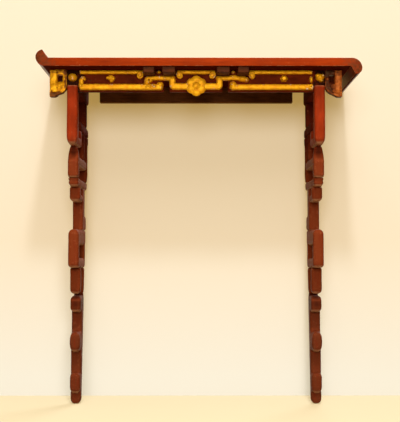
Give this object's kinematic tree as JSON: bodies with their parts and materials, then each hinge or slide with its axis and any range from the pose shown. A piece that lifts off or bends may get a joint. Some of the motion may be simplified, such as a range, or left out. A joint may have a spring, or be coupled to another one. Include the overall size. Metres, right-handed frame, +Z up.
{
  "type": "altar table",
  "caption": "Narrow altar table with a plank top ending in an up-turned and a down-turned lip, a carved gilt frieze and stepped openwork side panels.",
  "frame": {"origin": "on the floor, under the middle of the table's outline", "axes": "+X along the top to the viewer's right, +Y from the front edge back to the wall, +Z up"},
  "size_m": [0.793, 0.3, 0.875],
  "materials": {
    "top_lacquer": "red lacquer, satin, worn at the arrises",
    "panel_lacquer": "red-brown lacquer, satin",
    "ground_lacquer": "dark red lacquer, matt",
    "plum_lacquer": "dark plum lacquer, matt",
    "dark_stain": "dark stained wood, matt",
    "gilt": "gold leaf over carved wood, satin",
    "worn_gilt": "rubbed gold leaf over red bole, satin",
    "bare_wood": "bare wood"
  },
  "bodies": {
    "root": {"centre_upper_rail": "gilt", "frieze_board": "ground_lacquer", "ground_studs": "gilt", "head_bosses": "gilt", "left_batten": "dark_stain", "left_bracket_rail": "panel_lacquer", "left_cross_rail": "panel_lacquer", "left_end_lip": "top_lacquer", "left_fret": "gilt", "left_front_hook": "panel_lacquer", "left_front_lobe": "panel_lacquer", "left_front_post": "panel_lacquer", "left_head_rail": "panel_lacquer", "left_inner_post": "panel_lacquer", "left_knee_hook": "panel_lacquer", "left_link_rail": "panel_lacquer", "left_loop_bottom": "panel_lacquer", "left_loop_front": "panel_lacquer", "left_loop_rear": "panel_lacquer", "left_loop_top": "panel_lacquer", "left_lower_leg": "panel_lacquer", "left_lower_rail": "gilt", "left_neck_post": "panel_lacquer", "left_pegs": "bare_wood", "left_rear_drop": "panel_lacquer", "left_rear_post": "panel_lacquer", "left_spandrel": "gilt", "left_strut_blocks": "plum_lacquer", "left_under_hook": "panel_lacquer", "left_upper_rail": "gilt", "rear_cleat": "dark_stain", "right_batten": "dark_stain", "right_bracket_rail": "panel_lacquer", "right_cross_rail": "panel_lacquer", "right_end_lip": "top_lacquer", "right_fret": "gilt", "right_front_hook": "panel_lacquer", "right_front_lobe": "panel_lacquer", "right_front_post": "panel_lacquer", "right_head_rail": "panel_lacquer", "right_inner_post": "panel_lacquer", "right_knee_hook": "panel_lacquer", "right_link_rail": "panel_lacquer", "right_loop_bottom": "panel_lacquer", "right_loop_front": "panel_lacquer", "right_loop_rear": "panel_lacquer", "right_loop_top": "panel_lacquer", "right_lower_leg": "panel_lacquer", "right_lower_rail": "gilt", "right_neck_post": "panel_lacquer", "right_pegs": "bare_wood", "right_rear_drop": "panel_lacquer", "right_rear_post": "panel_lacquer", "right_spandrel": "worn_gilt", "right_strut_blocks": "plum_lacquer", "right_under_hook": "panel_lacquer", "right_upper_rail": "gilt", "rosette": "gilt", "strut_beads": "gilt", "top_plank": "top_lacquer"}
  },
  "joints": []
}
